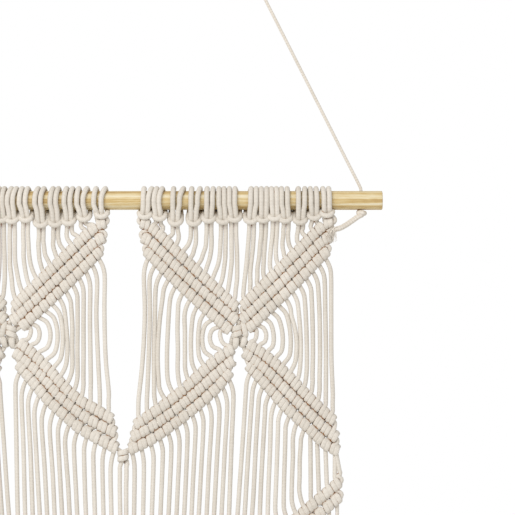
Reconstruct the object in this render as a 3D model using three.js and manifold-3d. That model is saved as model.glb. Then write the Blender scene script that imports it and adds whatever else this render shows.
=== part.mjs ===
// A macrame wall hanging: two panels of knotted cord on one wooden dowel, hung by a string.
// Millimetres. +X to the viewer's right, +Y to the wall, +Z up.
// The origin is the top of the nail, under the highest point of the string.
import * as THREE from 'three';
import { mergeVertices } from 'three/addons/utils/BufferGeometryUtils.js';
import Module from 'manifold-3d';

// Driving dimensions
const cordDiameter = 4.2;
const stringDiameter = 2.8;
const gap = 0.3; // kept between pieces that touch
const cordSides = 8;

const dowelDiameter = 16;
const dowelLength = 440;
const dowelChamfer = 0.8;
const dowelSides = 40;
const holeSides = 16;
const dowelDrop = 396; // from the nail down to the dowel's axis
const holeDiameter = 4;
const holeFromEnd = 18;

const panelOffset = 97.3; // from the hanging's middle to each panel's middle
const clothY = -5; // the cords' middle plane, a little in front of the dowel's axis
const cordLayer = cordDiameter; // thickness of a single layer of cords
const knotLayer = 11; // thickness of a row of knots

const headWidth = 8;
const headClearance = 0.3; // between the dowel and the cord round it
const headArcSegments = 9;
const headBottom = 20; // lowest point of a head, below the dowel's axis
// Places of the heads along each panel, from its middle. They are tied by hand, so the steps differ.
const rightPanelHeads = [
  -76.5, -66.6, -50.4, -35.7, -23.6, -14.0, -4.9, 13.4, 22.1, 30.5, 39.3, 54.0, 63.8, 74.5,
];
const leftPanelHeads = [
  -78.0, -66.0, -53.5, -41.0, -28.5, -16.5, -6.0, 4.3, 13.6, 27.3, 39.8, 51.6, 62.9, 78.0,
];

const foldDrop = 221; // the line, below the dowel's axis, where the skirt folds against the panels
const foldClearance = 2.6; // each thin layer keeps this from the fold line on the skirt's side
const skirtHalfWidth = 184;
const vRowEdgeDrop = 232; // top of the sloping rows at the hanging's sides
const vRowMiddleDrop = 388; // top of the sloping rows at the hanging's middle
const vRowHeight = 25; // two rows of knots
const fringeLength = 165;

const cottonMaterial = new THREE.MeshStandardMaterial({
  color: new THREE.Color(0.76, 0.72, 0.64),
  roughness: 0.95,
  metalness: 0,
});
const pineMaterial = new THREE.MeshStandardMaterial({
  color: new THREE.Color(0.76, 0.56, 0.26),
  roughness: 0.6,
  metalness: 0,
});

const wasm = await Module();
wasm.setup();

const hanging = new THREE.Group();
const dowelFrame = new THREE.Group();
dowelFrame.position.z = -dowelDrop;
hanging.add(dowelFrame);

// ---------- helpers ----------

function addMesh(parent, name, geometry, material) {
  const mesh = new THREE.Mesh(geometry, material);
  mesh.name = name;
  parent.add(mesh);
  return mesh;
}

function toSolid(geometry) {
  const bare = geometry.clone();
  bare.deleteAttribute('normal');
  bare.deleteAttribute('uv');
  const merged = mergeVertices(bare, 1e-4);
  return new wasm.Manifold(
    new wasm.Mesh({
      numProp: 3,
      vertProperties: new Float32Array(merged.attributes.position.array),
      triVerts: new Uint32Array(merged.index.array),
    }),
  );
}

function toGeometry(solid) {
  const mesh = solid.getMesh();
  const geometry = new THREE.BufferGeometry();
  geometry.setAttribute('position', new THREE.BufferAttribute(mesh.vertProperties, 3));
  geometry.setIndex(new THREE.BufferAttribute(mesh.triVerts, 1));
  return geometry;
}

// A flat layer whose outline is given as [x, z] points, centred on the cords' middle plane.
function layer(outline, thickness) {
  const shape = new THREE.Shape(outline.map(([x, z]) => new THREE.Vector2(x, z)));
  const geometry = new THREE.ExtrudeGeometry(shape, { depth: thickness, bevelEnabled: false });
  geometry.rotateX(Math.PI / 2);
  geometry.translate(0, clothY + thickness / 2, 0);
  return geometry;
}

function mirrored(outline) {
  return outline.map(([x, z]) => [-x, z]);
}

function roundSection(diameter, sides) {
  const section = new THREE.Shape();
  for (let i = 0; i < sides; i += 1) {
    const angle = (2 * Math.PI * (i + 0.5)) / sides;
    const x = (diameter / 2) * Math.cos(angle);
    const y = (diameter / 2) * Math.sin(angle);
    if (i === 0) section.moveTo(x, y);
    else section.lineTo(x, y);
  }
  section.closePath();
  return section;
}

function tube(path, diameter, steps) {
  return new THREE.ExtrudeGeometry(roundSection(diameter, cordSides), {
    extrudePath: path,
    steps,
    bevelEnabled: false,
  });
}

// A path through the points, each inner corner rounded over its own cut length.
function roundedPath(points, cuts) {
  const path = new THREE.CurvePath();
  let start = points[0];
  for (let i = 1; i < points.length - 1; i += 1) {
    const corner = points[i];
    const before = points[i - 1].clone().sub(corner).setLength(cuts[i - 1]).add(corner);
    const after = points[i + 1].clone().sub(corner).setLength(cuts[i - 1]).add(corner);
    path.add(new THREE.LineCurve3(start, before));
    path.add(new THREE.QuadraticBezierCurve3(before, corner, after));
    start = after;
  }
  path.add(new THREE.LineCurve3(start, points[points.length - 1]));
  return path;
}

// ---------- the dowel and what hangs it ----------

const dowelRadius = dowelDiameter / 2;
const holeX = dowelLength / 2 - holeFromEnd;

function addDowel() {
  const half = dowelLength / 2;
  const profile = [
    new THREE.Vector2(0, -half),
    new THREE.Vector2(dowelRadius - dowelChamfer, -half),
    new THREE.Vector2(dowelRadius, -half + dowelChamfer),
    new THREE.Vector2(dowelRadius, half - dowelChamfer),
    new THREE.Vector2(dowelRadius - dowelChamfer, half),
    new THREE.Vector2(0, half),
  ];
  const rod = new THREE.LatheGeometry(profile, dowelSides).rotateZ(-Math.PI / 2);
  let solid = toSolid(rod);
  for (const side of [-1, 1]) {
    const radius = holeDiameter / 2;
    const drill = new THREE.CylinderGeometry(radius, radius, 2 * dowelDiameter, holeSides);
    drill.rotateX(Math.PI / 2).translate(side * holeX, 0, 0);
    solid = solid.subtract(toSolid(drill));
  }
  addMesh(dowelFrame, 'dowel', toGeometry(solid), pineMaterial);
}

function addHangingString() {
  const bottom = -dowelDrop + dowelRadius + 2 * gap;
  const mouthRise = 6; // straight out of the hole before it leans in
  const mouthCut = 4;
  const nailCut = 26; // rounds the top to a radius of over two diameters
  const steps = 80;
  const cornerAngle = Math.atan2(holeX, dowelDrop - dowelRadius - mouthRise);
  const cornerZ = stringDiameter / 2 + (nailCut / 2) * Math.cos(cornerAngle);
  const points = [
    new THREE.Vector3(-holeX, 0, bottom),
    new THREE.Vector3(-holeX, 0, bottom + mouthRise),
    new THREE.Vector3(0, 0, cornerZ),
    new THREE.Vector3(holeX, 0, bottom + mouthRise),
    new THREE.Vector3(holeX, 0, bottom),
  ];
  const path = roundedPath(points, [mouthCut, nailCut, mouthCut]);
  addMesh(hanging, 'hanging_string', tube(path, stringDiameter, steps), cottonMaterial);
}

// The knot under the dowel, with the stretch of string that fills the hole above it.
function addStopperKnot(side, word) {
  const knotRadius = 4;
  const knotHeight = 6.4;
  const knotTop = -dowelRadius - gap;
  const stemRadius = stringDiameter / 2;
  const profile = [new THREE.Vector2(0, knotTop - knotHeight)];
  const rings = 8;
  const turns = 12;
  for (let i = 1; i < rings; i += 1) {
    const angle = (Math.PI * i) / rings;
    const z = knotTop - (knotHeight / 2) * (1 + Math.cos(angle));
    profile.push(new THREE.Vector2(knotRadius * Math.sin(angle), z));
  }
  profile.push(new THREE.Vector2(stemRadius, knotTop));
  profile.push(new THREE.Vector2(stemRadius, dowelRadius));
  profile.push(new THREE.Vector2(0, dowelRadius));
  const geometry = new THREE.LatheGeometry(profile, turns).rotateX(Math.PI / 2);
  geometry.translate(side * holeX, 0, 0);
  addMesh(dowelFrame, `stopper_knot_${word}`, geometry, cottonMaterial);
}

// The rest of the string, from the stopper knot to the panel's edge.
function addStringTail(side, word) {
  const route = [
    [196.2, 0, -15.0],
    [192.0, -1.0, -18.2],
    [187.0, -2.5, -21.3],
    [181.6, -4.0, -23.3],
  ];
  const points = route.map(([x, y, z]) => new THREE.Vector3(side * x, y, z));
  const path = new THREE.CatmullRomCurve3(points);
  const steps = route.length - 1;
  addMesh(dowelFrame, `string_tail_${word}`, tube(path, cordDiameter, steps), cottonMaterial);
}

// ---------- the panels ----------

// A lark's head seen from the side: a ring round the dowel, drawn out to the cross cord below it.
function headGeometry() {
  const inner = dowelRadius + headClearance;
  const outer = inner + cordDiameter;
  const barRadius = cordDiameter / 2 + 0.4; // the cross cord, drawn tight and a little flattened
  const barY = -7.5; // in front of the dowel's axis
  const barZ = -(headBottom - barRadius);
  const spread = Math.hypot(barY, barZ);
  const lean = Math.atan2(barZ, barY);
  const tangent = Math.acos((outer - barRadius) / spread);
  const outline = new THREE.Shape();
  outline.absarc(0, 0, outer, lean + tangent, lean - tangent + 2 * Math.PI, false);
  outline.absarc(barY, barZ, barRadius, lean - tangent, lean + tangent, false);
  const hole = new THREE.Path();
  hole.absarc(0, 0, inner, 0, 2 * Math.PI, true);
  outline.holes.push(hole);
  const geometry = new THREE.ExtrudeGeometry(outline, {
    depth: headWidth,
    bevelEnabled: false,
    curveSegments: headArcSegments,
  });
  geometry.translate(0, 0, -headWidth / 2);
  // The outline's first axis becomes Y and its second becomes Z.
  geometry.applyMatrix4(new THREE.Matrix4().set(0, 0, 1, 0, 1, 0, 0, 0, 0, 1, 0, 0, 0, 0, 0, 1));
  return geometry;
}

function addHeads(panel, places, word) {
  const geometry = headGeometry();
  places.forEach((place, i) => {
    const number = String(i + 1).padStart(2, '0');
    const head = addMesh(panel, `larks_head_${word}_${number}`, geometry, cottonMaterial);
    head.position.x = place;
  });
}

// Outlines of the right half of one panel, from its middle line outwards: [x, z].
const upperArm = [
  [2, -84], [69, -20.4], [82, -20.4], [82, -45.4], [11, -113.2], [11, -103.5], [2, -103.5],
];
const centreKnot = [
  [-10.5, -103.9], [10.5, -103.9], [10.5, -118.2], [-10.5, -118.2],
];
const lowerArm = [
  [2, -118.6], [11, -118.6], [33, -137.3], [55, -162.6], [77, -182.2], [90.6, -189],
  [90.6, -216], [78, -215.5], [50, -193], [27, -167.3], [9, -154], [2, -135],
];
const sideCords = [
  [14, -111.6], [82, -46.7], [84.5, -185.2], [77, -181.4], [55, -161.8], [33, -136.5], [14, -119.8],
];
const topCords = [
  [-68, -20.7], [68, -20.7], [0, -84.8],
];
const bottomCords = [
  [5, -151], [27, -168.3], [50, -194], [78, -216.3], [91, -216.5], [91, -220.4],
  [-91, -220.4], [-91, -216.5], [-78, -216.3], [-50, -194], [-27, -168.3], [-5, -151],
];

function addPanel(side, word, heads) {
  const panel = new THREE.Group();
  panel.position.x = side * panelOffset;
  dowelFrame.add(panel);
  addHeads(panel, heads, word);
  addMesh(panel, `top_cords_${word}`, layer(topCords, cordLayer), cottonMaterial);
  addMesh(panel, `centre_knot_${word}`, layer(centreKnot, knotLayer), cottonMaterial);
  addMesh(panel, `bottom_cords_${word}`, layer(bottomCords, cordLayer), cottonMaterial);
  for (const half of ['outer', 'inner']) {
    const flip = half === 'outer' ? side < 0 : side > 0;
    const turn = (outline) => (flip ? mirrored(outline) : outline);
    addMesh(panel, `upper_arm_${word}_${half}`, layer(turn(upperArm), knotLayer), cottonMaterial);
    addMesh(panel, `lower_arm_${word}_${half}`, layer(turn(lowerArm), knotLayer), cottonMaterial);
    addMesh(panel, `side_cords_${word}_${half}`, layer(turn(sideCords), cordLayer), cottonMaterial);
  }
}

// The knot that ties the two panels' inner arms together.
function addJoinKnot() {
  const half = panelOffset - 90.6 - gap;
  const outline = [
    [-half, -190], [half, -190], [half, -216], [-half, -216],
  ];
  addMesh(dowelFrame, 'join_knot', layer(outline, knotLayer), cottonMaterial);
}

// ---------- the skirt below the fold ----------

function vRowTop(x) {
  const slope = (vRowMiddleDrop - vRowEdgeDrop) / skirtHalfWidth;
  return -vRowMiddleDrop + slope * x;
}

function addSkirtHalf(side, word) {
  const inner = gap;
  const outer = skirtHalfWidth;
  const lean = 2 * gap; // kept between sloping edges
  const turn = (outline) => (side < 0 ? mirrored(outline) : outline);
  const foldEdge = -foldDrop - foldClearance;
  const drapedCords = [
    [inner, foldEdge], [outer, foldEdge],
    [outer, vRowTop(outer) + lean], [inner, vRowTop(inner) + lean],
  ];
  const slopingRows = [
    [inner, vRowTop(inner)], [outer, vRowTop(outer)],
    [outer, vRowTop(outer) - vRowHeight], [inner, vRowTop(inner) - vRowHeight],
  ];
  const fringeTop = (x) => vRowTop(x) - vRowHeight - lean;
  const fringe = [
    [inner, fringeTop(inner)], [outer, fringeTop(outer)],
    [outer, fringeTop(outer) - fringeLength], [inner, fringeTop(inner) - fringeLength],
  ];
  addMesh(dowelFrame, `draped_cords_${word}`, layer(turn(drapedCords), cordLayer), cottonMaterial);
  addMesh(dowelFrame, `sloping_rows_${word}`, layer(turn(slopingRows), knotLayer), cottonMaterial);
  addMesh(dowelFrame, `fringe_${word}`, layer(turn(fringe), cordLayer), cottonMaterial);
}

addDowel();
addHangingString();
for (const [side, word, heads] of [[-1, 'left', leftPanelHeads], [1, 'right', rightPanelHeads]]) {
  addStopperKnot(side, word);
  addStringTail(side, word);
  addPanel(side, word, heads);
  addSkirtHalf(side, word);
}
addJoinKnot();

export default hanging;
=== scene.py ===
"""A macrame wall hanging: knotted cotton cord on a pine dowel, hung by a string.

Lengths in the cord routes are millimetres from the dowel's axis at the hanging's middle:
x to the viewer's right, y to the wall, z up. They become metres when a mesh is made.
"""
import math
import random
from collections import namedtuple

import bmesh
import bpy
import numpy as np
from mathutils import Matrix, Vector


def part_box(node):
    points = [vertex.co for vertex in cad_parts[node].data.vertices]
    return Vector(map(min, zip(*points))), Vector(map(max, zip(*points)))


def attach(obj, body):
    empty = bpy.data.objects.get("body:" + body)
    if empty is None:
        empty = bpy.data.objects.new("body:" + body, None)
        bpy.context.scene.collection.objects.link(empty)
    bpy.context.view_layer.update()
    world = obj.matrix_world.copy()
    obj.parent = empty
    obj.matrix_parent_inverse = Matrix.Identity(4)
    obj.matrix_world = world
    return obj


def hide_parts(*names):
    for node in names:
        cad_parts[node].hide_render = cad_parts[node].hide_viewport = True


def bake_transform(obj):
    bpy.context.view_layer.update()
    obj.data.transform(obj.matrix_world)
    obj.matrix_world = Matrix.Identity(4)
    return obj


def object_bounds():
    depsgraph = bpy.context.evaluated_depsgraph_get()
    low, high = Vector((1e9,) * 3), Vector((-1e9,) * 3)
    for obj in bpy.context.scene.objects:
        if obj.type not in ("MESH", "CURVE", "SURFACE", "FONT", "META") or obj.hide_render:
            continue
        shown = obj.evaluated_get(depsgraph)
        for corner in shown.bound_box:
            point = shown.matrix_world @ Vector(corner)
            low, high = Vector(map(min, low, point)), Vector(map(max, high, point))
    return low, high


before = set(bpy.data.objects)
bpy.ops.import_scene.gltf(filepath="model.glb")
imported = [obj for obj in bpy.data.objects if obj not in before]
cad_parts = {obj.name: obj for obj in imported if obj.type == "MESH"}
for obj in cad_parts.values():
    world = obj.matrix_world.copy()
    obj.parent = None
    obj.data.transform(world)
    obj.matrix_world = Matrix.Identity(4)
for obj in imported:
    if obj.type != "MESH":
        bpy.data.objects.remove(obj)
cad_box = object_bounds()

MM = 0.001
rng = random.Random(7)


# ---- sizes from the frame ----

def middle(node):
    """The middle of a CAD node's box, in metres."""
    low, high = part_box(node)
    return (low + high) / 2


def size(node):
    low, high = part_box(node)
    return high - low


DOWEL_Z = middle("dowel").z
DOWEL_LENGTH = size("dowel").x / MM
DOWEL_RADIUS = size("dowel").z / MM / 2
HOLE_X = middle("stopper_knot_right").x / MM
PANEL_X = middle("centre_knot_right").x / MM
CLOTH_Y = middle("centre_knot_right").y / MM
SLOPING_LOW, SLOPING_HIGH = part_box("sloping_rows_right")
SKIRT_HALF = SLOPING_HIGH.x / MM
ROWS_TOP = (SLOPING_HIGH.z - DOWEL_Z) / MM
ROWS_BOTTOM = (SLOPING_LOW.z - DOWEL_Z) / MM
FRINGE_BOTTOM = (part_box("fringe_right")[0].z - DOWEL_Z) / MM

CORD = 1.9            # radius of a cord hanging free
LOOP = 2.2            # radius of a cord round the dowel
CORE = 1.75           # radius of the cord that a row is tied round
WRAP_DEPTH = 1.45     # half the thickness of a cord pulled tight round the core
STRING = size("hanging_string").y / MM / 2
ROUND = 2.0           # the power of a round section; a higher one is squarer
SQUARE = 4.0
SIDES = 12
FRINGE_MARGIN = 10.0  # between the free ends and the bottom of the CAD fringe
FINE_STEP = 1.2       # between rings in a knot
ROW_STEP = 2.0        # between rings on a core, and where a cord leaves a knot
BEND_STEP = 2.5       # between rings in a free bend
LONG_STEP = 4.0       # between rings on a straight stretch
FREE_CREASE_SHADE = 0.3     # how dark the painted shade in a crease between free cords is, where one in a knot is 1
ENDS = 14             # cord ends in half a panel, numbered 0 at the panel's edge

SIDE_WORDS = {-1: "left", 1: "right"}
SIDEWAYS = np.array((1.0, 0.0, 0.0))
FORWARD = np.array((0.0, -1.0, 0.0))
UP = np.array((0.0, 0.0, 1.0))


def add_object(name, data):
    thing = bpy.data.objects.new(name, data)
    bpy.context.scene.collection.objects.link(thing)
    return thing


def place(x, y, z):
    return np.array((x, y, z), float)


def to_world(points):
    return np.asarray(points) * MM + np.array((0, 0, DOWEL_Z))


def smooth(t):
    t = min(max(t, 0.0), 1.0)
    return t * t * (3 - 2 * t)


# ---- camera ----

CAMERA_DISTANCE = 2.0
VIEW_WIDTH = 0.43775
VIEW_MIDDLE = (0.1139, -0.0485)   # from the dowel's middle, x and z


def add_camera():
    data = bpy.data.cameras.new("camera")
    data.sensor_width = 36
    data.lens = data.sensor_width * CAMERA_DISTANCE / VIEW_WIDTH
    data.clip_end = 50
    camera = add_object("camera", data)
    camera.location = (VIEW_MIDDLE[0], -CAMERA_DISTANCE, DOWEL_Z + VIEW_MIDDLE[1])
    camera.rotation_euler = (math.pi / 2, 0, 0)
    bpy.context.scene.camera = camera


add_camera()


# ---- swept cords ----

# Where each value stands in a stop of a route.
ACROSS, WIDE, DEEP, POWER, STEP = slice(3, 6), 6, 7, 8, 9


class Route:
    """The middle line of a cord: places, each with the way the cord's width lies there,
    its half width and half depth, how square its section is and the distance between rings."""

    def __init__(self, stops=()):
        self.stops = list(stops)

    def add(self, at, half_width=CORD, half_depth=None, across=SIDEWAYS, power=ROUND, step=FINE_STEP):
        depth = half_width if half_depth is None else half_depth
        self.stops.append(np.concatenate((at, across, (half_width, depth, power, step))))

    @property
    def end(self):
        return self.stops[-1][:3]


def spline(stops, samples=6):
    """A centripetal Catmull-Rom curve through the stops, all columns together."""
    stops = np.array(stops)
    keep = np.ones(len(stops), bool)
    keep[1:] = np.linalg.norm(np.diff(stops[:, :3], axis=0), axis=1) > 0.05
    stops = stops[keep]
    padded = np.vstack((2 * stops[0] - stops[1], stops, 2 * stops[-1] - stops[-2]))
    p0, p1, p2, p3 = padded[:-3], padded[1:-2], padded[2:-1], padded[3:]

    def root_gap(a, b):
        return np.sqrt(np.linalg.norm(b[:, :3] - a[:, :3], axis=1)) + 1e-6

    t0 = np.zeros(len(p1))
    t1 = root_gap(p0, p1)
    t2 = t1 + root_gap(p1, p2)
    t3 = t2 + root_gap(p2, p3)

    def between(a, b, ta, tb, t):
        share = ((t - ta) / (tb - ta))[:, None]
        return a * (1 - share) + b * share

    parts = []
    for share in np.arange(samples) / samples:
        t = t1 + (t2 - t1) * share
        a1 = between(p0, p1, t0, t1, t)
        a2 = between(p1, p2, t1, t2, t)
        a3 = between(p2, p3, t2, t3, t)
        b1 = between(a1, a2, t0, t2, t)
        b2 = between(a2, a3, t1, t3, t)
        parts.append(between(b1, b2, t1, t2, t))
    curve = np.stack(parts, axis=1).reshape(-1, stops.shape[1])
    return np.vstack((curve, stops[-1]))


def run_lengths(points):
    gaps = np.linalg.norm(np.diff(points[:, :3], axis=0), axis=1)
    return np.concatenate(((0,), np.cumsum(gaps)))


def resample(curve, step=None):
    """Rings along the curve, close together in the knots and further apart elsewhere."""
    gaps = np.diff(run_lengths(curve))
    steps = (curve[1:, STEP] + curve[:-1, STEP]) / 2 if step is None else np.full(len(gaps), step)
    rings = np.concatenate(((0,), np.cumsum(gaps / np.maximum(steps, 0.3))))
    wanted = np.linspace(0, rings[-1], max(int(math.ceil(rings[-1])), 2) + 1)
    columns = [np.interp(wanted, rings, curve[:, i]) for i in range(curve.shape[1])]
    return np.stack(columns, axis=1)


def unit(vectors):
    return vectors / np.maximum(np.linalg.norm(vectors, axis=-1, keepdims=True), 1e-9)


def carried_frames(points):
    """Tangents, and a side vector carried along the line without twisting."""
    tangents = unit(np.gradient(points, axis=0))
    side = unit(np.cross(tangents[0], (0.3, -0.9, 0.2)))
    sides = np.empty_like(points)
    for i, tangent in enumerate(tangents):
        side = unit(side - tangent * side.dot(tangent))
        sides[i] = side
    return tangents, sides


def domes(lengths, radius, at_start, at_end):
    """How far each ring shrinks so that an end is domed."""
    from_end = np.full(len(lengths), radius)
    if at_start:
        from_end = np.minimum(from_end, lengths)
    if at_end:
        from_end = np.minimum(from_end, lengths[-1] - lengths)
    inside = np.clip(from_end / radius, 0, 1)
    return np.sqrt(np.maximum(1 - (1 - inside) ** 2, 0.02))


class CordMesh:
    """Collects swept cords into one mesh, with a braid UV map, a tint attribute and an attribute of painted
    shade in the creases.
    """

    def __init__(self):
        self.verts, self.normals, self.faces, self.uvs, self.tints = [], [], [], [], []
        self.shade_weight = []
        self.thick_lines = []
        self.count = 0
        self.path = None
        self.length = 0

    def sweep(self, route, tint, sides=SIDES, dome_start=False, dome_end=False):
        curve = spline(route.stops)
        self.thick_lines.append(resample(curve, 1.0)[:, (0, 1, 2, WIDE, DEEP)])
        rings = resample(curve)
        points, across = rings[:, :3], unit(rings[:, ACROSS])
        lengths = run_lengths(rings)
        shrink = domes(lengths, float(rings[:, DEEP].min()), dome_start, dome_end)
        wide, deep = rings[:, WIDE] * shrink, rings[:, DEEP] * shrink
        power = np.clip(rings[:, POWER], ROUND, SQUARE)[:, None]
        tangents, side_a = carried_frames(points)
        side_b = np.cross(tangents, side_a)
        across = unit(across - tangents * np.sum(across * tangents, axis=1)[:, None])
        through = np.cross(tangents, across)
        angles = 2 * math.pi * np.arange(sides) / sides
        outward = (side_a[:, None] * np.cos(angles)[None, :, None]
                   + side_b[:, None] * np.sin(angles)[None, :, None])
        along_width = np.abs(np.sum(outward * across[:, None], axis=2)) / wide[:, None]
        along_depth = np.abs(np.sum(outward * through[:, None], axis=2)) / deep[:, None]
        reach = (along_width ** power + along_depth ** power + 1e-9) ** (-1 / power)
        self._add_grid(points[:, None] + outward * reach[..., None], outward, lengths, tint)
        # Painted shade is full in the knots, where the rings are close and the cords press together; free
        # stretches get less.
        tight = np.interp(rings[:, STEP], (ROW_STEP, ROW_STEP + 0.4), (1, FREE_CREASE_SHADE))
        self.shade_weight.append(np.repeat(tight, sides))
        self.path = points
        self.length = float(lengths[-1])

    def _add_grid(self, verts, outward, lengths, tint):
        count, sides = verts.shape[:2]
        base = self.count
        self.verts.append(verts.reshape(-1, 3))
        self.normals.append(outward.reshape(-1, 3))
        self.tints.append(np.full(count * sides, tint))
        i, k = np.meshgrid(np.arange(count - 1), np.arange(sides), indexing="ij")
        after = (k + 1) % sides
        corners = (i * sides + k, (i + 1) * sides + k, (i + 1) * sides + after, i * sides + after)
        self.faces.extend((np.stack(corners, -1).reshape(-1, 4) + base).tolist())
        u0, u1 = k / sides, (k + 1) / sides
        v0, v1 = lengths[i], lengths[i + 1]
        self.uvs.append(np.stack((u0, v0, u0, v1, u1, v1, u1, v0), -1).reshape(-1, 2))
        self.faces.append([base + n for n in range(sides)])
        self.faces.append([base + (count - 1) * sides + n for n in reversed(range(sides))])
        self.uvs.append(np.zeros((2 * sides, 2)))
        self.count += count * sides

    def make(self, name, material, crowd):
        verts = np.vstack(self.verts)
        mesh = bpy.data.meshes.new(name)
        mesh.from_pydata(to_world(verts).tolist(), [], self.faces)
        layer = mesh.uv_layers.new(name="braid")
        layer.data.foreach_set("uv", np.vstack(self.uvs).ravel())
        set_attribute(mesh, "tint", np.concatenate(self.tints))
        # Painted shade: how hemmed in each point is, full in the knots and weaker on free stretches.
        painted_shade = crowd.closeness(verts, np.vstack(self.normals)) * np.concatenate(self.shade_weight)
        set_attribute(mesh, "painted_shade", painted_shade)
        return add_piece(name, mesh, material)

    def world_path(self):
        return [tuple(point) for point in to_world(self.path)]


def swept(route, tint, **ends):
    """A mesh of one cord."""
    cord = CordMesh()
    cord.sweep(route, tint, **ends)
    return cord


def set_attribute(mesh, name, values):
    attribute = mesh.attributes.new(name, "FLOAT", "POINT")
    attribute.data.foreach_set("value", values)


def add_piece(name, mesh, material):
    mesh.polygons.foreach_set("use_smooth", [True] * len(mesh.polygons))
    mesh.materials.append(material)
    mesh.update()
    return add_object(name, mesh)


class Crowd:
    """A coarse grid of where there is cord or wood, which tells how hemmed in a surface is, for the painted
    shade in the creases.
    """

    CELL = 0.6
    DISTANCES = ((1.2, 0.5), (2.2, 0.35), (3.4, 0.15))   # how far to look, and how much it counts
    TILT = math.radians(52)      # of the ways to look, from the surface's normal
    AROUND = 5
    RADII = (1.2, 1.6, 2.0)      # that the cords' radii are rounded to
    RADIUS_STEP = 0.4
    MARGIN = 6.0

    def __init__(self, cords):
        lines = np.vstack([line for cord in cords for line in cord.thick_lines])
        self.low = lines[:, :3].min(axis=0) - self.MARGIN
        self.low[1] = -DOWEL_RADIUS - 2 * LOOP - self.MARGIN
        high = lines[:, :3].max(axis=0) + self.MARGIN
        high[1] = -self.low[1]
        self.shape = np.ceil((high - self.low) / self.CELL).astype(int)
        self.cells = np.zeros(self.shape, bool)
        thickness = np.minimum(lines[:, 3], lines[:, 4])
        for radius in self.RADII:
            near = np.abs(thickness - radius) <= self.RADIUS_STEP / 2
            self._stamp(lines[near, :3], radius)
        self._fill_dowel()

    def _index(self, points):
        return ((points - self.low) / self.CELL).astype(int)

    def _stamp(self, points, radius):
        reach = int(math.ceil(radius / self.CELL))
        offsets = np.arange(-reach, reach + 1)
        grid = np.stack(np.meshgrid(offsets, offsets, offsets, indexing="ij"), -1).reshape(-1, 3)
        grid = grid[np.linalg.norm(grid * self.CELL, axis=1) <= radius]
        base = self._index(points)
        for offset in grid:
            at = np.clip(base + offset, 0, self.shape - 1)
            self.cells[at[:, 0], at[:, 1], at[:, 2]] = True

    def _fill_dowel(self):
        y = self.low[1] + (np.arange(self.shape[1]) + 0.5) * self.CELL
        z = self.low[2] + (np.arange(self.shape[2]) + 0.5) * self.CELL
        inside = y[:, None] ** 2 + z[None, :] ** 2 < (DOWEL_RADIUS - self.CELL / 2) ** 2
        self.cells |= inside[None]

    def closeness(self, points, normals):
        """How much of what each surface point faces is filled, from 0 to 1."""
        side_a = unit(np.cross(normals, (0.31, 0.74, 0.59)))
        side_b = np.cross(normals, side_a)
        ways = [normals]
        for k in range(self.AROUND):
            turn = 2 * math.pi * k / self.AROUND
            lean = side_a * math.cos(turn) + side_b * math.sin(turn)
            ways.append(normals * math.cos(self.TILT) + lean * math.sin(self.TILT))
        total = np.zeros(len(points))
        for way in ways:
            for distance, weight in self.DISTANCES:
                at = np.clip(self._index(points + way * distance), 0, self.shape - 1)
                total += weight * self.cells[at[:, 0], at[:, 1], at[:, 2]]
        return total / len(ways)


# ---- materials ----

class Nodes:
    """Makes the nodes of one material or world."""

    def __init__(self, tree):
        self.tree = tree

    def add(self, kind, inputs, **settings):
        node = self.tree.nodes.new("ShaderNode" + kind)
        for name, value in settings.items():
            setattr(node, name, value)
        self.fill(node, inputs)
        return node

    def fill(self, node, inputs):
        """Sets the inputs that are given as values and links those given as other nodes' outputs."""
        for name, value in inputs.items():
            if isinstance(value, bpy.types.NodeSocket):
                self.tree.links.new(value, node.inputs[name])
            else:
                node.inputs[name].default_value = value

    def do(self, operation, *values):
        return self.add("Math", dict(enumerate(values)), operation=operation).outputs[0]

    def total(self, *weighted):
        """The sum of (value, weight) pairs."""
        result = None
        for value, weight in weighted:
            part = self.do("MULTIPLY", value, weight)
            result = part if result is None else self.do("ADD", result, part)
        return result

    def attribute(self, name):
        return self.add("Attribute", {}, attribute_name=name).outputs["Fac"]

    def position(self):
        return self.add("NewGeometry", {}).outputs["Position"]

    def noise(self, where, scale, detail=2.0, distortion=0.0):
        inputs = {"Scale": scale, "Detail": detail, "Distortion": distortion, "Vector": where}
        return self.add("TexNoise", inputs).outputs["Fac"]

    def stretched(self, where, scale):
        return self.add("Mapping", {"Scale": scale, "Vector": where}).outputs[0]

    def ramp(self, value, stops):
        node = self.add("ValToRGB", {0: value})
        elements = node.color_ramp.elements
        while len(elements) < len(stops):
            elements.new(0.5)
        for element, (at, colour) in zip(elements, stops):
            element.position = at
            element.color = (*colour, 1)
        return node.outputs[0]

    def paint_shade(self, colour, shade, low, high, dark):
        """Painted shade: mixes towards dark where shade goes from low to high."""
        reach = self.add("MapRange", {"From Min": low, "From Max": high, "Value": shade},
                         interpolation_type="SMOOTHSTEP").outputs[0]
        return self.add("Mix", {"Factor": reach, "A": colour, "B": (*dark, 1)},
                        data_type="RGBA").outputs["Result"]

    def bump(self, height, strength, distance):
        inputs = {"Strength": strength, "Distance": distance, "Height": height}
        return self.add("Bump", inputs).outputs[0]


def new_material(name):
    """A material, its nodes and its shader."""
    material = bpy.data.materials.new(name)
    material.use_nodes = True
    tree = material.node_tree
    return material, Nodes(tree), tree.nodes["Principled BSDF"]


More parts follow.
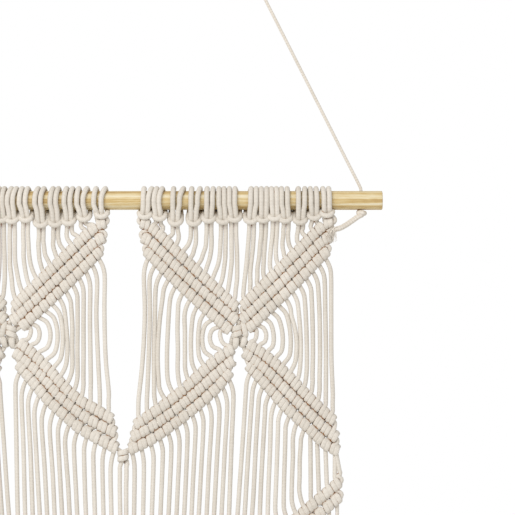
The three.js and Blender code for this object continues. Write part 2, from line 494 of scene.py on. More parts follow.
def cotton_material(name, light, dark, strands, lay, relief):
    """Braided cotton: strands cross both ways round the cord; lay is one strand's length
    and relief how plainly the braid shows."""
    material, nodes, shader = new_material(name)
    uv = nodes.add("UVMap", {}, uv_map="braid").outputs[0]
    split = nodes.add("SeparateXYZ", {0: uv})
    turn = nodes.do("MULTIPLY", split.outputs[0], strands * math.tau)
    run = nodes.do("MULTIPLY", split.outputs[1], math.tau / lay)
    one = nodes.do("SINE", nodes.do("ADD", turn, run))
    other = nodes.do("SINE", nodes.do("SUBTRACT", turn, run))
    weave = nodes.do("MULTIPLY", one, other)
    where = nodes.position()
    fuzz = nodes.noise(where, 1500, 3)
    blotch = nodes.noise(where, 70)
    height = nodes.total((weave, 0.5), (fuzz, 1.0))
    mix = nodes.total((weave, relief), (fuzz, 0.7), (blotch, 0.35), (nodes.attribute("tint"), 0.2))
    colour = nodes.ramp(mix, [(0.25, dark), (0.95, light)])
    # Painted shade: dark brown where the cord is hemmed in, between the passes of the knots and between
    # rows.
    colour = nodes.paint_shade(colour, nodes.attribute("painted_shade"), low=0.27, high=0.52,
                          dark=(0.38, 0.185, 0.065))
    nodes.fill(shader, {"Base Color": colour, "Roughness": 0.95, "Specular IOR Level": 0.15,
                        "Normal": nodes.bump(height, strength=0.35, distance=0.0004)})
    return material


def pine_material():
    """Planed pine: grain along the rod, with fine pores, and painted shade where the cords lie close."""
    material, nodes, shader = new_material("pine")
    where = nodes.position()
    grain = nodes.noise(nodes.stretched(where, (5, 330, 330)), 1, 4, 0.5)
    pores = nodes.noise(nodes.stretched(where, (120, 2600, 2600)), 1)
    mix = nodes.total((grain, 1.0), (pores, 0.45))
    colour = nodes.ramp(mix, [(0.50, (0.40, 0.25, 0.10)), (0.66, (0.58, 0.42, 0.18)),
                              (0.80, (0.68, 0.56, 0.33)), (0.96, (0.76, 0.68, 0.50))])
    # Painted shade: dark brown on the wood where the cords lie close, a painted contact shadow.
    colour = nodes.paint_shade(colour, nodes.attribute("painted_shade"), low=0.15, high=0.75,
                          dark=(0.22, 0.10, 0.035))
    nodes.fill(shader, {"Base Color": colour, "Roughness": 0.55, "Specular IOR Level": 0.3,
                        "Normal": nodes.bump(mix, strength=0.25, distance=0.0002)})
    return material


def floor_material():
    material, nodes, shader = new_material("floor")
    nodes.fill(shader, {"Base Color": (0.9, 0.9, 0.89, 1), "Roughness": 0.9})
    return material


COTTON = cotton_material("cotton", (0.765, 0.715, 0.645), (0.575, 0.52, 0.445),
                         strands=4, lay=5.5, relief=0.09)
STRING_COTTON = cotton_material("string_cotton", (0.80, 0.74, 0.66), (0.56, 0.50, 0.42),
                                strands=3, lay=5, relief=0.2)
PINE = pine_material()


# ---- rows of knots ----

class Row:
    """A row of double half hitches along a flat curve, tied in the order of the points.
    Points are (distance out from the middle line, z)."""

    PASS_HEIGHT = 3.5     # from the core's middle to a pass at the row's edge, and in front
    PASS_DEPTH = 3.05
    BACK_SPREAD = 1.3     # how much further the passes reach behind, where another row adjoins
    BOXINESS = 3.0
    SLANT = 0.8           # the passes lean from square across the row, as the cord is pulled down
    CORE_RUN = (0.03, 0.97)           # the share of the row that its core is held along
    IN_HEIGHT, IN_FRONT = 5.4, 0.4    # where a cord comes to a knot, from the core's middle
    OUT_HEIGHT, OUT_BEHIND = 4.6, 1.0

    def __init__(self, middle_x, out, points, knots, row_above=False, row_below=False):
        self.line = spline([(middle_x + out * u, CLOTH_Y, z) for u, z in points], 20)
        self.lengths = run_lengths(self.line)
        self.length = self.lengths[-1]
        self.pitch = self.length / knots
        self.last = knots - 1
        self.back_above = self.BACK_SPREAD * row_above
        self.back_below = self.BACK_SPREAD * row_below

    def _point(self, distance):
        return np.array([np.interp(distance, self.lengths, self.line[:, i]) for i in range(3)])

    def at(self, distance):
        """A place on the core, the way along the row and the way up across it."""
        along = unit(self._point(distance + 1.5) - self._point(distance - 1.5))
        up = place(-along[2], 0, along[0])
        return self._point(distance), along, (up if up[2] > 0 else -up)

    def knot(self, index):
        return self.at((index + 0.5) * self.pitch)

    def way_in(self, index, back=None):
        """Just above a knot's first pass, which lies back along the row from its middle."""
        point, along, up = self.knot(index)
        back = self.pitch / 4 + self.SLANT if back is None else back
        return point - along * back + up * self.IN_HEIGHT + FORWARD * self.IN_FRONT, up

    def way_out(self, index, onward=None):
        """Just below a knot's second pass, which lies onward along the row."""
        point, along, up = self.knot(index)
        onward = self.pitch / 4 + self.SLANT if onward is None else onward
        return point + along * onward - up * self.OUT_HEIGHT - FORWARD * self.OUT_BEHIND, -up

    def tie(self, route, index):
        """Two passes over the front of the core, and out behind and below."""
        point, along, up = self.knot(index)
        quarter = self.pitch / 4
        slip = rng.uniform(-0.2, 0.2)
        slant = self.SLANT + rng.uniform(-0.2, 0.2)
        proud = rng.uniform(-0.1, 0.15)
        full_width = quarter * rng.uniform(1.07, 1.15)
        for degrees in range(50, 561, 20):
            turn = math.radians(degrees)
            rise, front = math.cos(turn), math.sin(turn)
            crossing = smooth((degrees - 200) / 130)
            behind = smooth(-3 * front)
            fullness = max(behind, abs(front))
            spread = quarter * (0.82 + 0.1 * fullness + 0.08 * behind) * (2 * crossing - 1)
            width = full_width * (0.88 + 0.12 * fullness + 0.22 * behind)
            height = self.PASS_HEIGHT + behind * (self.back_above if rise > 0 else self.back_below)
            across = (abs(rise) / height) ** self.BOXINESS
            through = (abs(front) / (self.PASS_DEPTH + proud)) ** self.BOXINESS
            reach = (across + through) ** (-1 / self.BOXINESS)
            at = point + along * (spread + slip - slant * rise) + reach * (rise * up + front * FORWARD)
            power = SQUARE if front > 0 else ROUND
            route.add(at, width, WRAP_DEPTH, along, power)

    def hold(self, route):
        """The core: the cord that the row is tied round."""
        start, end = self.CORE_RUN
        steps = max(int(self.length / 6), 2)
        for i in range(steps + 1):
            share = start + (end - start) * i / steps
            point, _, _ = self.at(share * self.length)
            route.add(point, CORE, across=FORWARD, step=ROW_STEP)


# The rows of a half panel: (distance out from the panel's middle, z), and each row's knots.
HalfRows = namedtuple("HalfRows", "upper lower side_cords")

# The half at the edge of the hanging.
EDGE_HALF = HalfRows(
    upper=(
        ([(80.5, -18.2), (74.0, -20.6), (50.0, -43.8), (3.6, -90.4)], 13),
        ([(79.0, -30.2), (72.5, -34.0), (50.0, -56.2), (2.7, -102.6)], 13),
        ([(76.6, -42.0), (71.0, -47.0), (50.0, -68.8), (7.8, -109.2)], 12),
    ),
    lower=(
        ([(8.0, -121.4), (23.8, -132.2), (39.0, -145.3), (59.5, -166.5), (75.5, -181.7),
          (82.0, -187.5)], 12),
        ([(5.2, -128.0), (24.2, -144.0), (37.0, -157.2), (53.8, -174.0), (71.2, -191.0),
          (84.0, -202.0)], 13),
        ([(8.0, -139.0), (15.0, -145.8), (28.0, -160.5), (44.6, -179.0), (59.0, -191.7),
          (74.3, -206.6), (85.5, -213.0)], 13),
    ),
    # How far from the panel's middle each side cord hangs half way down, from the outermost in.
    side_cords=(79.5, 74.8, 69.7, 63.8, 58.2, 53.5, 49.3, 44.8, 37.4, 30.6, 24.4, 15.8),
)

# The half that faces the hanging's middle, in the right panel and in the left one.
MIDDLE_HALF_RIGHT = HalfRows(
    upper=(
        ([(82.5, -18.6), (75.4, -21.6), (50.0, -45.6), (1.0, -91.4)], 13),
        ([(81.0, -30.5), (74.0, -35.3), (50.0, -58.2), (1.0, -102.6)], 13),
        ([(78.4, -42.0), (72.0, -48.3), (50.0, -70.4), (6.4, -110.4)], 12),
    ),
    lower=(
        ([(4.2, -125.0), (18.4, -135.2), (35.8, -151.0), (54.0, -167.0), (74.5, -182.0),
          (87.5, -191.0)], 12),
        ([(4.0, -134.8), (18.8, -147.6), (36.5, -163.4), (55.0, -178.8), (73.0, -191.5),
          (90.0, -201.5)], 13),
        ([(6.3, -144.6), (19.1, -159.8), (37.3, -176.0), (56.3, -190.7), (73.0, -202.3),
          (92.5, -211.5)], 13),
    ),
    side_cords=(79.5, 74.8, 70.8, 67.0, 59.9, 51.5, 45.2, 40.0, 34.2, 30.0, 23.6, 14.8),
)
MIDDLE_HALF_LEFT = HalfRows(
    upper=(
        ([(82.5, -18.6), (75.4, -21.6), (50.0, -45.6), (4.2, -90.9)], 13),
        ([(81.0, -30.5), (74.0, -35.3), (50.0, -58.2), (2.8, -103.4)], 13),
        ([(78.4, -42.0), (72.0, -48.3), (50.0, -70.4), (10.4, -107.6)], 12),
    ),
    lower=(
        ([(9.0, -119.8), (23.4, -132.8), (38.0, -147.8), (50.0, -161.0), (61.4, -170.3),
          (72.0, -176.2), (88.5, -186.0)], 12),
        ([(5.2, -128.0), (21.5, -142.0), (34.0, -155.0), (41.2, -163.8), (54.5, -175.5),
          (66.0, -184.3), (75.0, -188.9), (91.0, -197.2)], 13),
        ([(8.0, -138.0), (19.6, -152.0), (33.3, -168.5), (47.7, -182.0), (59.8, -192.5),
          (71.5, -199.6), (83.7, -206.0), (92.5, -211.0)], 13),
    ),
    side_cords=(82.0, 75.0, 69.0, 63.6, 58.6, 54.3, 50.2, 46.3, 41.3, 36.0, 27.0, 18.8),
)


class Half:
    """One half of a panel. Its upper rows run from the panel's edge to its middle, the lower
    ones from the middle out to the edge."""

    def __init__(self, panel_side, out):
        self.panel_side = panel_side
        self.out = out
        self.faces_edge = panel_side * out > 0
        self.middle_x = panel_side * PANEL_X
        facing_middle = MIDDLE_HALF_RIGHT if panel_side > 0 else MIDDLE_HALF_LEFT
        tied = EDGE_HALF if self.faces_edge else facing_middle
        self.upper = self._rows(tied.upper)
        self.lower = self._rows(tied.lower)
        self.side_cords = tied.side_cords

    def _rows(self, table):
        last = len(table) - 1
        return [Row(self.middle_x, self.out, points, knots, row_above=i > 0, row_below=i < last)
                for i, (points, knots) in enumerate(table)]

    def x(self, u):
        return self.middle_x + self.out * u


class Skirt:
    """The two rows that slope from one side of the hanging down to its middle."""

    SLOTS = 2 * ENDS
    HEIGHT = 25.0     # of both rows together, up and down

    def __init__(self, side):
        self.side = side
        low_edge = ROWS_BOTTOM + self.HEIGHT
        self.rows = []
        for drop in (self.HEIGHT / 4, self.HEIGHT * 3 / 4):
            points = [(SKIRT_HALF, ROWS_TOP - drop), (SKIRT_HALF / 2, (ROWS_TOP + low_edge) / 2 - drop),
                      (2.0, low_edge - drop)]
            self.rows.append(Row(0, side, points, self.SLOTS - 1))

    def slot_x(self, slot):
        return self.side * (slot + 0.5) * SKIRT_HALF / self.SLOTS


# ---- lark's heads ----

# How each head was tied, in millimetres from its CAD place: the space between its legs on top
# of the dowel and in front of it, how far the legs lean there, where they go under the cross
# cord, and the cross cord's middle and drop.
Head = namedtuple("Head", "top_gap front_gap lean foot bar drop")

RIGHT_HEADS = [Head(*values) for values in (
    (6.5, 4.2, -1.5, -2.3, -2.3, 14.6), (4.6, 4.2, -2.4, -1.0, 0.2, 16.1),
    (8.4, 5.6, -1.9, -2.8, -2.5, 20.4), (7.0, 5.4, -1.3, -2.2, -1.6, 20.4),
    (5.1, 4.9, -0.4, -0.9, -1.1, 17.9), (4.2, 4.5, 0.2, 1.6, 1.5, 19.0),
    (4.8, 4.5, -0.1, 1.4, 2.0, 17.2), (4.3, 4.6, -0.3, -1.8, -2.4, 18.6),
    (4.6, 4.4, 0.0, -0.2, -0.6, 17.7), (4.2, 4.3, 0.4, 1.0, 0.3, 16.2),
    (4.8, 4.8, 0.2, 1.6, 0.8, 17.9), (5.5, 5.2, -0.1, -0.8, -1.2, 19.2),
    (4.9, 4.8, 0.6, 1.0, 0.9, 15.5), (4.9, 4.5, 0.7, 1.1, 0.8, 13.2),
)]
LEFT_HEADS = [Head(*values) for values in (
    (4.9, 4.5, -0.6, -1.0, -1.2, 13.8), (5.2, 4.7, 0.3, 0.6, 0.4, 16.4),
    (5.0, 4.6, -0.8, 0.9, 0.2, 18.9), (6.4, 5.2, -1.2, -0.4, -0.2, 17.5),
    (4.6, 4.5, 0.4, 1.0, 0.6, 18.8), (5.0, 4.6, -0.4, -0.8, -0.6, 17.2),
    (4.4, 4.5, -1.2, 0.3, 0.2, 17.6), (4.2, 4.6, -2.6, -1.0, -1.3, 18.4),
    (4.8, 4.9, -1.5, 1.1, 1.4, 17.3), (4.9, 4.9, -2.2, 0.5, 0.3, 21.8),
    (4.5, 4.6, -1.7, 0.5, 0.1, 21.2), (5.0, 4.9, -1.6, 0.1, -0.4, 20.0),
    (7.1, 5.2, -2.0, 0.7, 1.3, 16.7), (7.8, 6.2, -2.3, -0.6, 1.0, 14.1),
)]
PRESS = 0.05          # how far a loop sinks into the wood
BAR_HALF = 4.7        # half the width of a cross cord
FOOT_GAP = 3.9        # between a pair of legs where they go under the cross cord


def leg_of_head(x, sign, head):
    """From the middle of the cross cord, back under the dowel, up behind it, over the top,
    down the front and under the cross cord."""
    route = Route()
    ring = DOWEL_RADIUS + LOOP - PRESS
    bar_x = x + head.bar
    slack = head.drop - 14
    bar = ((0, -9.5, -head.drop), (0.45, -9.3, -head.drop + 0.35), (0.86, -8.4, -head.drop + 1.6),
           (1.04, -6.0, -head.drop + 3.6), (1.04, -2.0, -10.5 - 0.35 * slack),
           (0.95, 3.2, -10.6 - 0.12 * slack))
    for share, y, z in bar:
        route.add((bar_x + sign * share * BAR_HALF, y, z), LOOP)
    start_x = bar_x + sign * 0.85 * BAR_HALF
    top_x = x + sign * head.top_gap / 2
    front_x = x + head.lean + sign * head.front_gap / 2
    foot_x = x + head.foot + sign * FOOT_GAP / 2
    for degrees in range(-40, 201, 15):
        turn = math.radians(degrees)
        if degrees < 90:
            at_x = start_x + (top_x - start_x) * smooth((degrees + 40) / 130)
        else:
            at_x = top_x + (front_x - top_x) * smooth((degrees - 90) / 90)
        route.add((at_x, ring * math.cos(turn), ring * math.sin(turn)), LOOP)
    front = ((0.45, -9.0, -7.6), (0.85, -7.6, -head.drop + 4.2), (1, -6.2, -head.drop + 0.6))
    for share, y, z in front:
        route.add((front_x + (foot_x - front_x) * share, y, z), LOOP)
    route.add((foot_x, CLOTH_Y, -head.drop - 3.2), step=ROW_STEP)
    return route


# ---- the routes of the cords ----

BEND_HEIGHT = 13.0    # of the bend where a slack cord leaves a row or meets one
BEND_WIDTH = 4.4
SHORT_DROP = 54.0     # a shorter stretch than this is one bow
MOST_DIRECT = 4.0     # and a stretch up to this goes straight
HEAD_SLACK = 11.0     # how far a cord from a head swings aside before its row


def drop_from_head(route, arrive, arrive_way):
    """Straight down from the head at first, then aside into the row from above it."""
    start = route.end
    depth = rng.uniform(-0.8, 0.8)
    if start[2] - arrive[2] > MOST_DIRECT:
        for share in (0.15, 0.35, 0.55, 0.75, 0.9):
            swing = HEAD_SLACK * arrive_way[0] * share ** 2 * (1 - share) + rng.uniform(-0.3, 0.3)
            aside = (arrive[0] - start[0]) * (share ** 2 - share) + swing
            bow = place(aside, depth * math.sin(math.pi * share), 0)
            route.add(start + (arrive - start) * share + bow, step=BEND_STEP)
    route.add(arrive)


def hang(route, arrive, arrive_way, leave_way=None, half=None, middle_out=None):
    """A stretch from the route's end down to a knot, bent where it leaves and arrives. A side
    cord's place half way down is middle_out, counted outwards from the panel's middle."""
    start = route.end
    drop = start[2] - arrive[2]
    middle_x = None if middle_out is None else half.x(middle_out)
    depth = rng.uniform(-0.8, 0.8)
    if drop < SHORT_DROP:
        swell = 0 if middle_x is None else middle_x - (start[0] + arrive[0]) / 2
        shares = (0.12, 0.3, 0.5, 0.7, 0.88) if drop > MOST_DIRECT else ()
        for share in shares:
            bow = math.sqrt(1 - (2 * share - 1) ** 2)
            route.add(start + (arrive - start) * share + place(swell * bow, depth * bow, 0), step=BEND_STEP)
        route.add(arrive)
        return
    if middle_x is None:
        leave_x = 0 if leave_way is None else leave_way[0] * BEND_WIDTH
        arrive_x = arrive_way[0] * BEND_WIDTH
        swell = 0
    else:
        leave_x = half.out * np.clip((middle_x - start[0]) * half.out, 0, BEND_WIDTH)
        arrive_x = half.out * np.clip((middle_x - arrive[0]) * half.out, 0, BEND_WIDTH)
        swell = middle_x - (start[0] + leave_x + arrive[0] + arrive_x) / 2
    upper = start + SIDEWAYS * leave_x - UP * BEND_HEIGHT
    lower = arrive + SIDEWAYS * arrive_x + UP * BEND_HEIGHT
    for share in (0.3, 0.65):
        aside = leave_x * (1 - (1 - share) ** 2)
        route.add(start + SIDEWAYS * aside - UP * BEND_HEIGHT * share, step=BEND_STEP)
    for share in (0, 0.3, 0.7, 1):
        rise = 4 * share * (1 - share)
        wander = place(swell * rise + rng.uniform(-0.3, 0.3), depth * rise, 0)
        route.add(upper + (lower - upper) * share + wander, step=LONG_STEP)
    for share in (0.65, 0.3):
        aside = arrive_x * (1 - (1 - share) ** 2)
        route.add(arrive + SIDEWAYS * aside + UP * BEND_HEIGHT * share, step=BEND_STEP)
    route.add(arrive)


def turn_in(route, row):
    """A cord that comes from above turns round the row's outer end to become its core."""
    point, along, up = row.at(0)
    for back, rise in ((-0.8, 5.6), (1.5, 3.6), (2.0, 0.6), (-0.6, -1.0)):
        route.add(point - along * back + up * rise + FORWARD * 0.4)
    row.hold(route)


def turn_down(route, row, depth):
    """The core leaves the row's end and drops behind."""
    point, along, _ = row.at(row.length)
    route.add(point + along * 0.4 - UP * 0.8 + FORWARD * depth, CORE)
    route.add(point + along * 0.2 - UP * 3.4 + FORWARD * depth, CORE)


def edge_cord(route, half):
    """The outermost cord: core of the first upper row, then side cord and core of the last
    lower row."""
    upper, lower = half.upper, half.lower
    turn_in(route, upper[0])
    turn_down(route, upper[0], 0.8 * half.out)
    for row in upper[1:]:
        row.tie(route, row.last)
    end, way = upper[2].way_out(upper[2].last, -1.5)
    route.add(end, step=ROW_STEP)
    arrive, arrive_way = lower[0].way_in(0, 0.6)
    hang(route, arrive, arrive_way, way, half, half.side_cords[-1])
    lower[0].tie(route, 0)
    lower[1].tie(route, 0)
    point, along, up = lower[2].at(0)
    route.add(point - along * 1.8 + up * 1.6)
    lower[2].hold(route)
    if not half.faces_edge:
        join(route, half)


JOIN_TOP = -212.6     # where the two panels' edge cords meet


def join(route, half):
    """The two panels' inner edge cords meet, and one is wound twice round the other."""
    if half.panel_side > 0:
        for degrees in range(20, 701, 20):
            turn = math.radians(degrees)
            share = (degrees - 20) / 680
            at = (3.5 * math.cos(turn), CLOTH_Y - 3.4 * math.sin(turn), JOIN_TOP - 9.2 * share)
            route.add(at, 2.35, WRAP_DEPTH, UP, SQUARE)
    else:
        for x, z in ((-2.4, JOIN_TOP), (-0.8, -216.0), (-0.8, -220.5)):
            route.add((x, CLOTH_Y + 0.4, z), CORE)
    route.add((half.panel_side * 2.8, CLOTH_Y, -226.0), step=ROW_STEP)


def crossing_cord(route, half, other, index):
    """The second and third cords: they cross at the panel's middle and become cores of the
    other half's lower rows."""
    for row in range(index):
        half.upper[row].tie(route, index - 1 - row)
    turn_in(route, half.upper[index])
    cross_over(route, half, index)
    core_of = other.lower[index - 1]
    core_of.hold(route)
    turn_down(route, core_of, 0.6)
    if index == 1:
        other.lower[1].tie(route, other.lower[1].last)
    other.lower[2].tie(route, other.lower[2].last - 2 + index)


LEFT_CROSSING = 1.5   # how far the left panel's crossing is from its middle line
FAT = 2.5             # half the width of a cord that is pressed flat over another
# Each crossing cord's way through the crossing, by whether it comes from the half at the
# hanging's edge and by its number: x from the crossing to the hanging's edge, y to the wall
# from the cloth, z and the cord's half width.
CROSSINGS = {
    (True, 1): ((4.4, -1.8, -104.0, FAT), (5.2, -3.4, -107.2, FAT), (6.0, -3.3, -111.0, FAT),
                (6.6, -2.4, -114.0, FAT), (6.4, -1.0, -115.9, CORD), (5.6, -2.6, -117.2, 2.8),
                (4.9, -3.4, -120.4, 2.7), (3.9, -1.4, -123.4, FAT), (0.8, 2.4, -120.5, CORD),
                (-1.2, 0.2, -116.4, FAT), (-1.6, -3.2, -118.2, 2.9), (-1.8, -3.4, -121.4, 2.7),
                (-2.8, -1.8, -124.2, FAT)),
    (True, 2): ((-4.6, 1.4, -116.0, CORD), (-5.4, 1.6, -119.5, CORD),
                (-5.6, 1.2, -124.5, CORD), (-5.6, 0.2, -130.5, CORD)),
    (False, 1): ((0.9, -0.6, -103.6, 2.2), (-0.6, 0.6, -107.5, CORE), (-0.6, 0.6, -111.5, CORE),
                 (2.2, 0.6, -115.2, CORE), (4.6, 0.2, -117.8, CORE)),
    (False, 2): ((-4.4, 0.8, -110.4, CORE), (-1.0, 0.8, -113.5, CORE), (1.8, 0.8, -117.0, CORE),
                 (4.2, 0.4, -121.0, CORD), (5.4, 0.2, -125.5, CORD)),
}


def cross_over(route, half, index):
    """Where the inner edge cords of both halves pass each other in the panel's middle. On one
    side they wind round those of the other."""
    if half.faces_edge and index == 2:
        for degrees in range(-60, 581, 20):
            turn = math.radians(degrees)
            share = (degrees + 60) / 640
            at = crossing_place(half, 3.8 * math.cos(turn) - 0.5, -3.6 * math.sin(turn),
                                -106.2 - 8.6 * share + 0.9 * math.cos(turn) * share)
            route.add(at, FAT, WRAP_DEPTH, UP, SQUARE)
    for x, y, z, half_width in CROSSINGS[half.faces_edge, index]:
        route.add(crossing_place(half, x, y, z), half_width, 1.7)


def crossing_place(half, x, y, z):
    middle_x = half.middle_x + (0 if half.panel_side > 0 else LEFT_CROSSING)
    return middle_x + half.panel_side * x, CLOTH_Y + y, z


def inner_cord(route, half, index):
    """Every other cord: one knot in each row, and a slack stretch beside the middle."""
    upper, lower = half.upper, half.lower
    arrive, arrive_way = upper[0].way_in(index - 1)
    drop_from_head(route, arrive, arrive_way)
    for drop, row in enumerate(upper):
        row.tie(route, index - 1 - drop)
    end, way = upper[2].way_out(index - 3)
    route.add(end, step=ROW_STEP)
    from_middle = ENDS - 1 - index
    arrive, arrive_way = lower[0].way_in(from_middle + 1)
    hang(route, arrive, arrive_way, way, half, half.side_cords[index - 3] + rng.uniform(-0.6, 0.6))
    lower[0].tie(route, from_middle + 1)
    lower[1].tie(route, from_middle + 1)
    lower[2].tie(route, from_middle)


def into_skirt(route, half, order, skirt):
    """Down across the fold and through the sloping rows. order counts from the panel's middle.
    Returns its place in the fringe, counted from the hanging's middle, and where it leaves the
    last row."""
    slot = ENDS + order if half.faces_edge else ENDS - 1 - order
    from_edge = skirt.SLOTS - 1 - slot
    first, second = skirt.rows
    way = None
    if order < ENDS - 1:
        end, way = half.lower[2].way_out(order)
        route.add(end, step=ROW_STEP)
    if from_edge == 0:
        point, _, _ = first.at(0)
        hang(route, point + UP * 6.0, UP, way)
        turn_in(route, first)
        turn_down(route, first, -0.8)
        second.tie(route, second.last)
        return 1, second.way_out(second.last)[0]
    arrive, arrive_way = first.way_in(from_edge - 1)
    hang(route, arrive, arrive_way, way)
    first.tie(route, from_edge - 1)
    if from_edge == 1:
        turn_in(route, second)
        return 0, route.end - UP * 4.0
    second.tie(route, from_edge - 2)
    return slot + 2, second.way_out(from_edge - 2)[0]


DECLARED = {-1: 19, 1: 20}   # how many fringe cords from the middle are cords of their own


def hang_free(route, start, x_end, bottom):
    """A free end that hangs from the last row."""
    sway, depth = rng.uniform(-1.2, 1.2), rng.uniform(-0.7, 0.7)
    route.add(start, step=ROW_STEP)
    for i in range(1, 7):
        share = i / 6
        x = start[0] + (x_end - start[0]) * min(share * 2.0, 1)
        swing = math.sin(math.pi * share)
        at = (x + sway * swing + rng.uniform(-0.4, 0.4), CLOTH_Y + depth * swing,
              start[2] + (bottom - start[2]) * share)
        route.add(at, step=LONG_STEP)


def through_panel(route, half, other, index):
    """Down through the panel, as the cord's number says. Returns the half that it ends in and
    its place there, counted from the panel's middle."""
    if index == 0:
        edge_cord(route, half)
    elif index in (1, 2):
        crossing_cord(route, half, other, index)
        return other, ENDS - 4 + index
    else:
        inner_cord(route, half, index)
    return half, ENDS - 1 - index


def build_working_cords():
    """All 28 cords, each folded over the dowel, and the free ends that are cords of their own."""
    fringe_length = ROWS_BOTTOM - FRINGE_BOTTOM
    cords, fringe = {}, {}
    for side, heads in ((-1, LEFT_HEADS), (1, RIGHT_HEADS)):
        word = SIDE_WORDS[side]
        skirt = Skirt(side)
        halves = {out: Half(side, out) for out in (-1, 1)}
        for number, head in enumerate(heads):
            head_x = middle(f"larks_head_{word}_{number + 1:02d}").x / MM
            out = -1 if number < ENDS / 2 else 1
            legs, bare = [], []
            tint = rng.uniform(0, 1)
            for sign in (-1, 1):
                across = 2 * number + (sign + 1) // 2
                index = across if out < 0 else 2 * ENDS - 1 - across
                route = leg_of_head(head_x, sign, head)
                half, order = through_panel(route, halves[out], halves[-out], index)
                slot, end = into_skirt(route, half, order, skirt)
                bottom = end[2] - fringe_length + FRINGE_MARGIN - rng.uniform(0, 5)
                is_declared = slot < DECLARED[side]
                free = Route() if is_declared else route
                hang_free(free, end, skirt.slot_x(slot), bottom)
                if is_declared:
                    fringe[side, slot] = swept(free, tint, dome_end=True)
                legs.append(route)
                bare.append(not is_declared)
            whole = Route(legs[0].stops[::-1] + legs[1].stops)
            cords[word, number + 1] = swept(whole, tint, dome_start=bare[0], dome_end=bare[1])
    return cords, fringe


# ---- the string and its ends ----

NAIL_BEND = 26.0      # how far from its corner over the nail the string begins to bend
RISE = 1.0            # straight up out of the dowel before the string leans inwards
STRING_STEP = 3.0
STRING_TINT = 0.6
MIRROR = np.array((-1, 1, 1))


def string_route():
    """From the right hole, over the nail and down into the left hole."""
    top = (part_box("hanging_string")[1].z - DOWEL_Z) / MM - STRING
    hole = place(HOLE_X, 0, DOWEL_RADIUS + 0.6)
    foot = hole + UP * RISE
    lean = math.atan2(HOLE_X, top - foot[2])
    corner = place(0, 0, top + NAIL_BEND / 2 * math.cos(lean))
    way = unit(foot - corner)
    right = [hole - UP * 4.0, hole, hole + UP * RISE * 0.6, foot + way * -2.0]
    bend_start = corner + way * NAIL_BEND
    right += [foot + (bend_start - foot) * i / 14 for i in range(1, 15)]
    for share in (0.25, 0.5, 0.75):
        near, far = (1 - share) ** 2, 2 * share * (1 - share)
        right.append(bend_start * near + corner * far + bend_start * MIRROR * share ** 2)
    left = [point * MIRROR for point in right[-4::-1]]
    route = Route()
    for point in right + left:
        route.add(point, STRING, across=FORWARD, step=STRING_STEP)
    return route


def string_end_route(side):
    """Out of the hole, through the stopper knot and along to the edge of the panel."""
    route = Route()
    knot = [(0, 0, -3, 1.35), (0, 0, -6.8, 1.35), (-0.5, -0.2, -8.2, 1.6), (-2.1, 0.6, -9.6, 1.9),
            (-1.7, 2.6, -10.3, 1.9), (1.2, 2.6, -10.6, 1.9), (2.7, 0.6, -10.9, 2.1),
            (2.1, -2.1, -10.9, 2.3), (-0.6, -2.9, -10.2, 2.2), (-2.4, -1.6, -10.8, 1.9),
            (-1.2, 0.8, -12.0, 1.8), (0.6, 0.2, -12.6, 1.8), (0.2, -1.8, -12.6, 2.1)]
    tail = [(-2.4, -3.2, -13.7, 2.2), (-5.2, -3.6, -15.6, 2.25), (-8.5, -4.4, -17.9, 2.25),
            (-12.5, -5.8, -20.6, 2.25), (-16.5, -7.8, -22.9, 2.25), (-20.0, -9.4, -24.2, 2.25),
            (-23.0, -10.2, -24.6, 2.1), (-25.0, -10.3, -24.6, 1.3)]
    for x, y, z, radius in knot + tail:
        route.add((side * (HOLE_X + x), y, z), radius)
    return route


# The strands and the loose fibres of a frayed end: how many, their radius, and how far the
# shortest and the longest hang.
FRAYED = ((9, 0.5, 5, 10), (22, 0.25, 7, 13))


def fray(cord, tip, side):
    """The strands and loose fibres that spread from the cut end of a cord and droop."""
    for count, radius, shortest, longest in FRAYED:
        for _ in range(count):
            start = tip + place(side * rng.uniform(1.0, 4.5), rng.uniform(-1.3, 0), rng.uniform(-1.7, 1.7))
            onward = rng.uniform(0.5, 6.5)
            droop = rng.uniform(shortest, longest) - 0.6 * onward
            curl = rng.uniform(-1.2, 1.2)
            route = Route()
            route.add(start, radius)
            for share in (0.3, 0.55, 0.8, 1):
                x = -onward * math.sin(share * math.pi * 0.6) + curl * share ** 2
                y = -0.8 * math.sin(share * math.pi) - 0.3
                thick = radius * (1.1 - 0.5 * share)
                route.add(start + place(side * x, y, -droop * share ** 1.8), thick)
            cord.sweep(route, STRING_TINT + rng.uniform(-0.3, 0.3), sides=6)


def build_string_end(side):
    route = string_end_route(side)
    cord = swept(route, STRING_TINT, dome_end=True)
    fray(cord, route.end, side)
    return cord


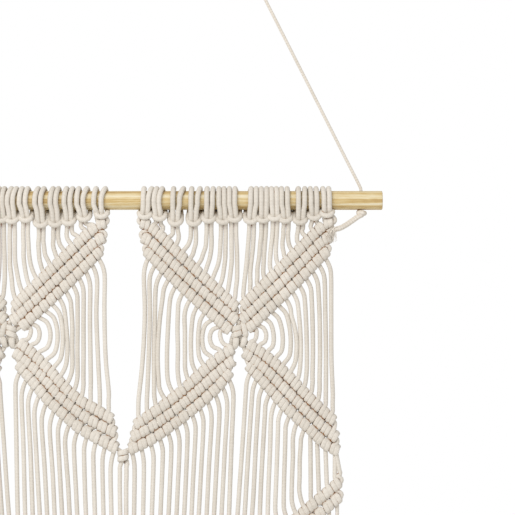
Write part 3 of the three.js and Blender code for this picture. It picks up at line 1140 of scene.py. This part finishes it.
def make_pieces():
    """Every cord as a piece. The fringe cords and the string are put on their bodies, and the CAD nodes
    that the cords stand for are hidden.
    """
    cords, fringe = build_working_cords()
    string = swept(string_route(), STRING_TINT)
    string_ends = {side: build_string_end(side) for side in (-1, 1)}
    crowd = Crowd([*cords.values(), *fringe.values(), *string_ends.values()])
    for (word, number), cord in cords.items():
        piece = cord.make(f"working_cord_{word}_{number:02d}", COTTON, crowd)
        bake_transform(piece)
        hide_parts(f"larks_head_{word}_{number:02d}")
        if number == 1:
            layers = ("top_cords", "centre_knot", "bottom_cords", "sloping_rows", "draped_cords")
            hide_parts("join_knot", *[f"{layer}_{word}" for layer in layers])
            for arm in ("inner", "outer"):
                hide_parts(*[f"{layer}_{word}_{arm}"
                                     for layer in ("upper_arm", "lower_arm", "side_cords")])
    for (side, slot), cord in fringe.items():
        word = SIDE_WORDS[side]
        piece = cord.make(f"fringe_cord_{word}_{slot + 1:02d}", COTTON, crowd)
        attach(piece, "skirt")
        path = cord.world_path()
        if slot == 0:
            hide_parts(f"fringe_{word}")
    piece = string.make("hanging_string_cord", STRING_COTTON, crowd)
    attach(piece, "dowel_and_string")
    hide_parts("hanging_string")
    path = string.world_path()
    for side, cord in string_ends.items():
        word = SIDE_WORDS[side]
        piece = cord.make(f"string_end_{word}", STRING_COTTON, crowd)
        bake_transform(piece)
        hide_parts(f"stopper_knot_{word}", f"string_tail_{word}")
    return crowd


# ---- the dowel ----

HOLE_RADIUS = 2.0
EASE = 0.8            # how far the rod's ends are rounded
RING_GAP = 1.6        # close enough for the shade of the cords to lie on the rod


def make_dowel(crowd):
    """A turned pine rod with eased ends and a hole through near each end."""
    half, around = DOWEL_LENGTH / 2, 64
    inner = np.arange(-half + 2, half - 1.9, RING_GAP)
    profile = [(-half, DOWEL_RADIUS * 0.5), (-half, DOWEL_RADIUS - EASE),
               (-half + 0.25, DOWEL_RADIUS - 0.28), (-half + EASE, DOWEL_RADIUS)]
    profile += [(x, DOWEL_RADIUS) for x in inner]
    profile += [(-x, r) for x, r in reversed(profile[:4])]
    angles = [2 * math.pi * k / around for k in range(around)]
    verts = [place(x, r * math.cos(a), r * math.sin(a)) for x, r in profile for a in angles]
    verts += [place(-half, 0, 0), place(half, 0, 0)]
    last = (len(profile) - 1) * around
    ring = [(k, (k + 1) % around) for k in range(around)]
    faces = [(near + k, near + after, near + around + after, near + around + k)
             for near in range(0, last, around) for k, after in ring]
    for k, after in ring:
        faces.append((len(verts) - 2, after, k))
        faces.append((len(verts) - 1, last + k, last + after))
    mesh = bpy.data.meshes.new("pine_dowel")
    mesh.from_pydata(to_world(verts).tolist(), [], faces)
    rod = add_piece("pine_dowel", mesh, PINE)
    for side in (-1, 1):
        drill(rod, side * HOLE_X)
    # Painted shade on the rod where the cords lie close to it; none near the rod's ends.
    points = np.array([(v.co.x, v.co.y, v.co.z - DOWEL_Z) for v in rod.data.vertices]) / MM
    normals = points * np.array((0, 1, 1)) + np.array((1e-6, 0, 0))
    painted_shade = crowd.closeness(points, unit(normals))
    painted_shade[np.abs(points[:, 0]) > half - 1] = 0
    set_attribute(rod.data, "painted_shade", painted_shade)
    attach(rod, "dowel_and_string")
    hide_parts("dowel")


def drill(rod, x):
    cutter_mesh = bpy.data.meshes.new("drill")
    shape = bmesh.new()
    radius = HOLE_RADIUS * MM
    bmesh.ops.create_cone(shape, cap_ends=True, segments=24, radius1=radius, radius2=radius,
                          depth=4 * DOWEL_RADIUS * MM)
    bmesh.ops.translate(shape, vec=(x * MM, 0, DOWEL_Z), verts=shape.verts)
    shape.to_mesh(cutter_mesh)
    shape.free()
    cutter = add_object("drill", cutter_mesh)
    cut = rod.modifiers.new("hole", "BOOLEAN")
    cut.object = cutter
    cut.operation = "DIFFERENCE"
    cut.solver = "EXACT"
    evaluated = rod.evaluated_get(bpy.context.evaluated_depsgraph_get())
    drilled = bpy.data.meshes.new_from_object(evaluated)
    rod.modifiers.remove(cut)
    rod.data = drilled
    bpy.data.objects.remove(cutter)


crowd = make_pieces()
make_dowel(crowd)


# ---- stage and light ----

FLOOR_RADIUS = 3.2    # in metres, as the lamp's place is
FLOOR_GAP = 0.12      # from the hanging down to the floor


def add_floor():
    mesh = bpy.data.meshes.new("floor")
    z = cad_box[0].z - FLOOR_GAP
    turns = [2 * math.pi * i / 64 for i in range(64)]
    rim = [(FLOOR_RADIUS * math.cos(t), FLOOR_RADIUS * math.sin(t), z) for t in turns]
    mesh.from_pydata(rim, [], [list(range(64))])
    mesh.materials.append(floor_material())
    add_object("floor", mesh)


def add_world():
    """White to the camera, and softer than that as light."""
    world = bpy.data.worlds.new("studio")
    world.use_nodes = True
    nodes = Nodes(world.node_tree)
    seen = nodes.add("LightPath", {}).outputs["Is Camera Ray"]
    strength = nodes.add("MapRange", {"Value": seen, "To Min": 0.72, "To Max": 1.0}).outputs[0]
    nodes.fill(world.node_tree.nodes["Background"], {"Color": (1, 1, 1, 1), "Strength": strength})
    bpy.context.scene.world = world
    bpy.context.scene.view_settings.view_transform = "Standard"


def add_lamp():
    """A large lamp in front, up and to the left."""
    data = bpy.data.lights.new("key", "AREA")
    data.shape = "SQUARE"
    data.size = 1.4
    data.energy = 34
    lamp = add_object("key", data)
    lamp.location = (-0.8, -2.0, DOWEL_Z + 1.2)
    way = Vector((0, 0, DOWEL_Z - 0.1)) - lamp.location
    lamp.rotation_euler = way.to_track_quat("-Z", "Y").to_euler()


add_floor()
add_world()
add_lamp()
